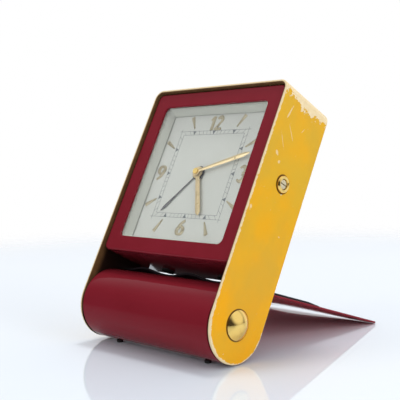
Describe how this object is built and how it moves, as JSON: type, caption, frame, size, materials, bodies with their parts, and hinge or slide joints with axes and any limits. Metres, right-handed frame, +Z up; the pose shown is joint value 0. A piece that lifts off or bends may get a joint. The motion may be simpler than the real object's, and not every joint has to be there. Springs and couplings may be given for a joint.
{
  "type": "travel alarm clock",
  "caption": "Folding travel alarm clock: a square case in a leaning strap frame, with a barrel-shaped cover that swings under to prop it up or shuts over the dial.",
  "frame": {"origin": "on the table, under the middle of the opened clock", "axes": "+X to the right as seen from the front, +Y to the back where the open cover reaches the table, +Z up"},
  "size_m": [0.064, 0.0856, 0.0838],
  "materials": {
    "yellow_lacquer": "glossy, worn to bare metal along the edges",
    "red_lacquer": "glossy",
    "polished_brass": "polished",
    "gilt": "satin gilt",
    "alarm_hand_steel": "blackened",
    "silvered_dial": "fine silvered",
    "clear_glass": "clear",
    "black_rubber": "matt",
    "dark_pad": "matt",
    "movement_brass": "satin",
    "steel": "polished",
    "blued_steel": "blued"
  },
  "bodies": {
    "case": {"strap_frame": "yellow_lacquer", "pivot_studs": "polished_brass", "pivot_washers": "steel", "pivot_nuts": "steel", "case_shell": "red_lacquer", "case_eyelets": "polished_brass", "case_screws": "polished_brass", "case_buffers": "black_rubber", "glass": "clear_glass", "dial_surround": "silvered_dial", "dial_plate": "silvered_dial", "hour_numerals": "gilt", "hour_markers": "gilt", "front_plate": "movement_brass", "rear_plate": "movement_brass", "plate_pillars": "movement_brass", "plate_screws": "steel", "balance_cock": "movement_brass", "hairspring": "blued_steel", "alarm_gong": "steel", "back_cover": "red_lacquer", "back_cover_screws": "steel", "movement_spacers": "movement_brass"},
    "cover": {"cover_shell": "red_lacquer", "cover_cheeks": "red_lacquer", "cover_stop_pad": "dark_pad", "cover_feet": "black_rubber"},
    "minute_work": {"minute_hand": "gilt", "hand_nut": "polished_brass", "cannon_pinion": "steel", "hand_arbor": "steel", "hand_setting_knob": "polished_brass"},
    "hour_work": {"hour_hand": "gilt", "hour_wheel": "movement_brass"},
    "minute_wheel": {"minute_wheel": "movement_brass"},
    "alarm_hand_work": {"alarm_hand": "alarm_hand_steel", "alarm_wheel": "movement_brass"},
    "alarm_setting": {"alarm_setting_arbor": "steel", "alarm_setting_knob": "polished_brass"},
    "centre_wheel": {"centre_wheel": "movement_brass"},
    "third_wheel": {"third_wheel": "movement_brass"},
    "fourth_wheel": {"fourth_wheel": "movement_brass"},
    "escape_wheel": {"escape_wheel": "movement_brass"},
    "pallet_lever": {"pallet_lever": "steel"},
    "balance": {"balance_wheel": "movement_brass"},
    "regulator": {"regulator_lever": "steel"},
    "time_great_wheel": {"time_great_wheel": "movement_brass"},
    "time_winding": {"time_winding_arbor": "steel", "time_mainspring": "blued_steel", "time_key": "polished_brass"},
    "time_click": {"time_click": "steel"},
    "alarm_great_wheel": {"alarm_great_wheel": "movement_brass"},
    "alarm_winding": {"alarm_winding_arbor": "steel", "alarm_mainspring": "blued_steel", "alarm_key": "polished_brass"},
    "alarm_click": {"alarm_click": "steel"},
    "alarm_escape_wheel": {"alarm_escape_wheel": "movement_brass"},
    "alarm_hammer": {"alarm_hammer": "steel"},
    "alarm_stop": {"alarm_stop_lever": "steel"}
  },
  "joints": [
    {"name": "cover_swing", "type": "hinge", "parent": "case", "child": "cover", "pos_m": [0, -0.03128, 0.012], "axis": [1, 0, 0], "range_deg": [-280.7, 0]},
    {"name": "minute_hand_turn", "type": "hinge", "parent": "case", "child": "minute_work", "pos_m": [0, -0.01001, 0.052], "axis": [0, 0.8829, -0.4695], "continuous": true},
    {"name": "hour_hand_turn", "type": "hinge", "parent": "case", "child": "hour_work", "pos_m": [0, -0.01001, 0.052], "axis": [0, 0.8829, -0.4695], "continuous": true},
    {"name": "minute_wheel_turn", "type": "hinge", "parent": "case", "child": "minute_wheel", "pos_m": [0.0036, -0.00708, 0.0575], "axis": [0, 0.8829, -0.4695], "continuous": true},
    {"name": "alarm_hand_turn", "type": "hinge", "parent": "case", "child": "alarm_hand_work", "pos_m": [0, -0.01001, 0.052], "axis": [0, 0.8829, -0.4695], "continuous": true},
    {"name": "alarm_setting_turn", "type": "hinge", "parent": "case", "child": "alarm_setting", "pos_m": [-0.00024, -0.01423, 0.04405], "axis": [0, 0.8829, -0.4695], "continuous": true},
    {"name": "escape_wheel_turn", "type": "hinge", "parent": "case", "child": "escape_wheel", "pos_m": [0.01104, -0.00543, 0.06062], "axis": [0, 0.8829, -0.4695], "continuous": true},
    {"name": "fourth_wheel_turn", "type": "hinge", "parent": "case", "child": "fourth_wheel", "pos_m": [0.00395, -0.00484, 0.06172], "axis": [0, 0.8829, -0.4695], "continuous": true},
    {"name": "third_wheel_turn", "type": "hinge", "parent": "case", "child": "third_wheel", "pos_m": [-0.00308, -0.00604, 0.05946], "axis": [0, 0.8829, -0.4695], "continuous": true},
    {"name": "centre_wheel_turn", "type": "hinge", "parent": "case", "child": "centre_wheel", "pos_m": [0, -0.01001, 0.052], "axis": [0, 0.8829, -0.4695], "continuous": true},
    {"name": "time_great_wheel_turn", "type": "hinge", "parent": "case", "child": "time_great_wheel", "pos_m": [-0.01246, -0.01237, 0.04755], "axis": [0, 0.8829, -0.4695], "continuous": true},
    {"name": "time_winding_turn", "type": "hinge", "parent": "case", "child": "time_winding", "pos_m": [-0.01246, -0.01237, 0.04755], "axis": [0, 0.8829, -0.4695], "continuous": true},
    {"name": "time_click_lift", "type": "hinge", "parent": "time_great_wheel", "child": "time_click", "pos_m": [-0.00706, -0.01237, 0.04755], "axis": [0, 0.8829, -0.4695], "range_deg": [-12, 0], "stiffness_Nm_per_rad": 0.0002},
    {"name": "pallet_lever_rock", "type": "hinge", "parent": "case", "child": "pallet_lever", "pos_m": [0.01213, -0.00352, 0.0642], "axis": [0, 0.8829, -0.4695], "range_deg": [-5, 5]},
    {"name": "balance_swing", "type": "hinge", "parent": "case", "child": "balance", "pos_m": [0.01833, -0.00352, 0.0642], "axis": [0, 0.8829, -0.4695], "range_deg": [-150, 150], "stiffness_Nm_per_rad": 0.000001},
    {"name": "regulator_turn", "type": "hinge", "parent": "case", "child": "regulator", "pos_m": [0.01833, -0.00352, 0.0642], "axis": [0, 0.8829, -0.4695], "range_deg": [-20, 20]},
    {"name": "alarm_great_wheel_turn", "type": "hinge", "parent": "case", "child": "alarm_great_wheel", "pos_m": [0.0123, -0.01405, 0.0444], "axis": [0, 0.8829, -0.4695], "continuous": true},
    {"name": "alarm_escape_wheel_turn", "type": "hinge", "parent": "case", "child": "alarm_escape_wheel", "pos_m": [0.02053, -0.00945, 0.05306], "axis": [0, 0.8829, -0.4695], "continuous": true},
    {"name": "alarm_winding_turn", "type": "hinge", "parent": "case", "child": "alarm_winding", "pos_m": [0.0123, -0.01405, 0.0444], "axis": [0, 0.8829, -0.4695], "continuous": true},
    {"name": "alarm_click_lift", "type": "hinge", "parent": "alarm_great_wheel", "child": "alarm_click", "pos_m": [0.0177, -0.01405, 0.0444], "axis": [0, 0.8829, -0.4695], "range_deg": [-12, 0], "stiffness_Nm_per_rad": 0.0002},
    {"name": "alarm_hammer_swing", "type": "hinge", "parent": "case", "child": "alarm_hammer", "pos_m": [0.01981, -0.00755, 0.05663], "axis": [0, 0.8829, -0.4695], "range_deg": [-3, 3]},
    {"name": "alarm_stop_turn", "type": "hinge", "parent": "case", "child": "alarm_stop", "pos_m": [0, -0.00094, 0.06906], "axis": [0, 0.8829, -0.4695], "range_deg": [0, 45]}
  ],
  "couplings": [
    {"joint": "hour_hand_turn", "follows": "minute_hand_turn", "ratio": 0.083333},
    {"joint": "minute_wheel_turn", "follows": "minute_hand_turn", "ratio": -0.33333},
    {"joint": "alarm_setting_turn", "follows": "alarm_hand_turn", "ratio": -5},
    {"joint": "fourth_wheel_turn", "follows": "escape_wheel_turn", "ratio": -0.125},
    {"joint": "third_wheel_turn", "follows": "escape_wheel_turn", "ratio": 0.016667},
    {"joint": "centre_wheel_turn", "follows": "escape_wheel_turn", "ratio": -0.0020833},
    {"joint": "time_great_wheel_turn", "follows": "escape_wheel_turn", "ratio": 0.00034722},
    {"joint": "alarm_escape_wheel_turn", "follows": "alarm_great_wheel_turn", "ratio": -9}
  ]
}
